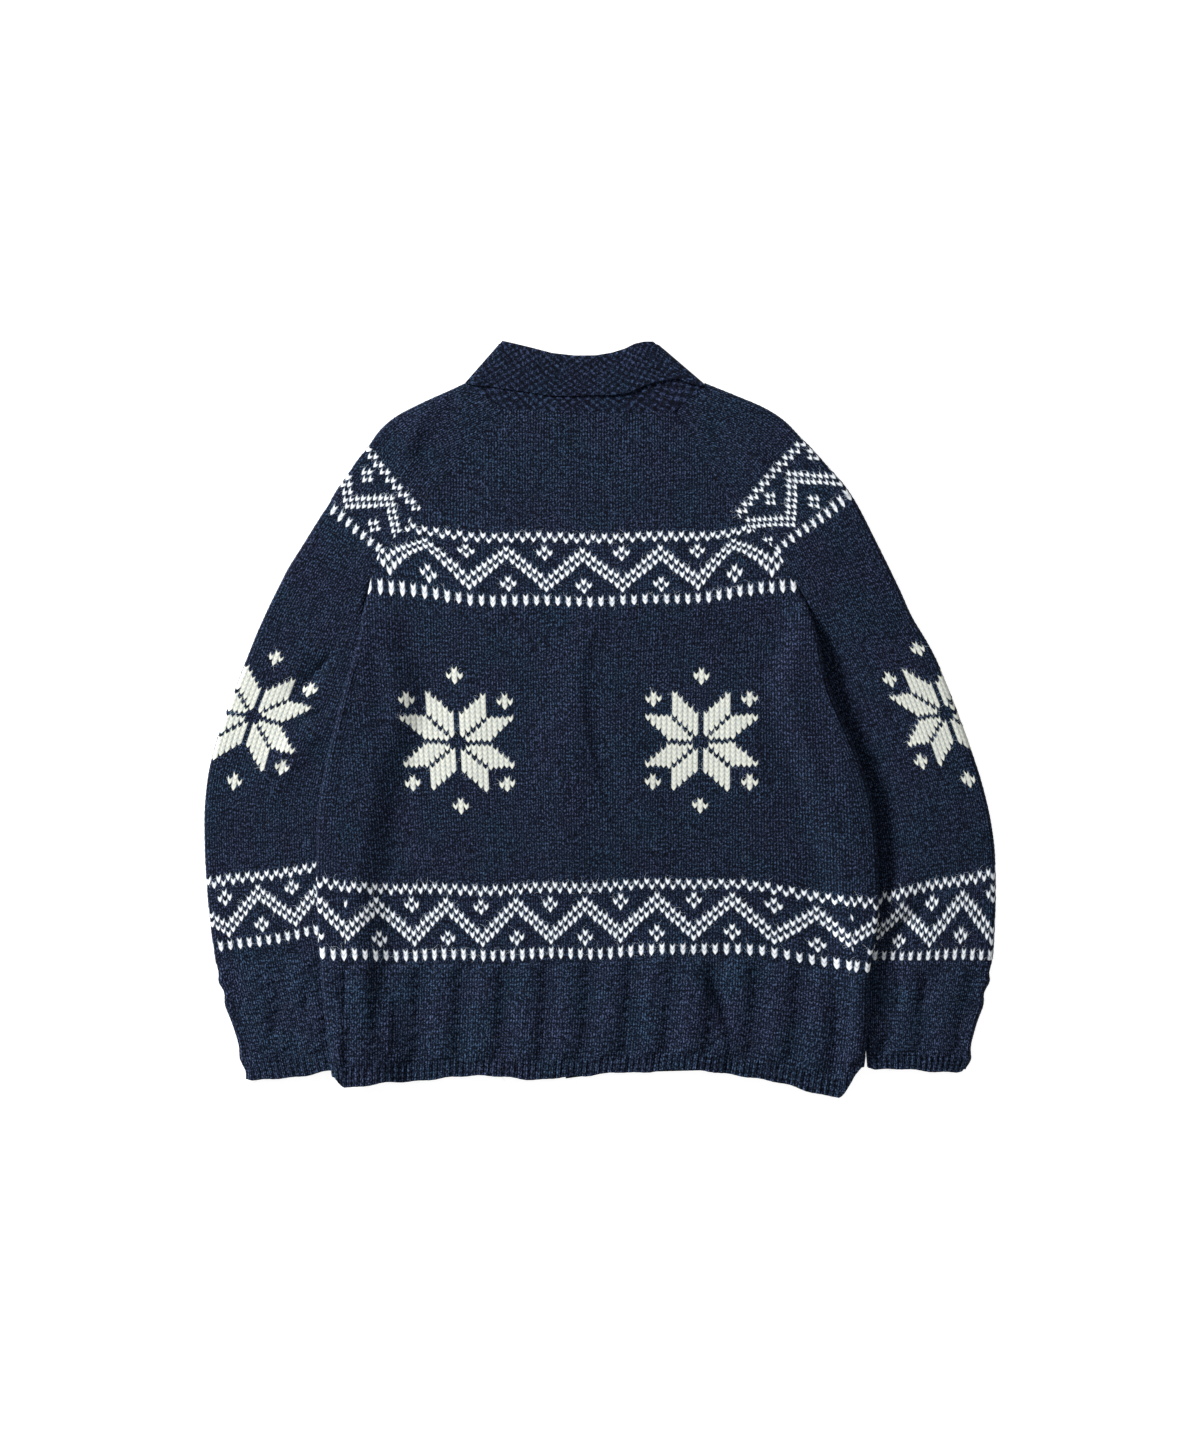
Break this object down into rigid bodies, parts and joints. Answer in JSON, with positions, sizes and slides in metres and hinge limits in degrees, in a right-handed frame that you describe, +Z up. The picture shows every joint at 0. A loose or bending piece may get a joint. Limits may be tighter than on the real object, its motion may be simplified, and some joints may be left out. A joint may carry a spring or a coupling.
{
  "type": "nordic cardigan",
  "caption": "Chunky knitted raglan cardigan with patterned bands, cabled hem and cuffs and a folded collar, laid flat with its back up.",
  "frame": {"origin": "middle of the laid cardigan's outline, on the surface it lies on", "axes": "+X across the shoulders towards the wearer's right sleeve, +Y from the hem to the collar, +Z up, out of the back"},
  "size_m": [0.7361, 0.7027, 0.024],
  "materials": {
    "body_knit": "stranded wool stocking stitch, dark navy with white pattern",
    "sleeve_knit": "stranded wool stocking stitch, dark navy with white pattern",
    "cable_knit": "cabled wool knit with a ribbed edge, dark navy",
    "band_knit": "plain wool front band, dark navy",
    "collar_knit": "wool moss stitch, dark navy"
  },
  "bodies": {
    "root": {"back": "body_knit", "left_front": "body_knit", "right_front": "body_knit", "left_sleeve": "sleeve_knit", "right_sleeve": "sleeve_knit", "back_welt": "cable_knit", "left_front_welt": "cable_knit", "right_front_welt": "cable_knit", "left_cuff": "cable_knit", "right_cuff": "cable_knit", "left_front_band": "band_knit", "right_front_band": "band_knit", "collar": "collar_knit"}
  },
  "joints": []
}
